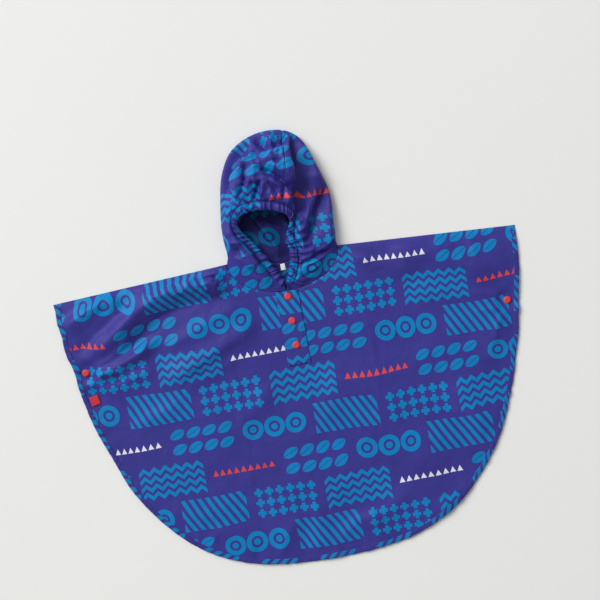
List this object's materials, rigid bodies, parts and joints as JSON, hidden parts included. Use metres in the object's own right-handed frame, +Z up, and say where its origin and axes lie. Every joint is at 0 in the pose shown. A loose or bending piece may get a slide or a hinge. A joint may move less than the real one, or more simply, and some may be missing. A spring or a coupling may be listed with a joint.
{
  "type": "kids rain poncho",
  "caption": "Child's hooded rain poncho laid flat, front up: half-round printed body, bound hem, short snap placket, side snaps and a hood with a gathered mouth.",
  "frame": {"origin": "on the surface that the poncho lies on, under the middle of the front neckline", "axes": "+X to the sleeve on the right as seen from above, +Y to the hood, +Z up out of the surface"},
  "size_m": [0.7824, 0.7203, 0.0552],
  "materials": {
    "printed_nylon": "smooth proofed nylon with a soft sheen, printed",
    "bias_binding": "folded and stitched strip of the printed nylon",
    "stud": "semi-gloss moulded resin",
    "tag": "woven tape",
    "label": "woven tape"
  },
  "bodies": {
    "root": {"back_panel": "printed_nylon", "front_panel": "printed_nylon", "placket_under": "printed_nylon", "placket_upper": "printed_nylon", "hood_left": "printed_nylon", "hood_right": "printed_nylon", "hood_casing": "printed_nylon", "hem_binding_back": "bias_binding", "hem_binding_front": "bias_binding", "stud_neck": "stud", "stud_middle": "stud", "stud_low": "stud", "stud_side_left": "stud", "stud_side_right": "stud", "side_tag": "tag", "neck_label": "label"}
  },
  "joints": []
}
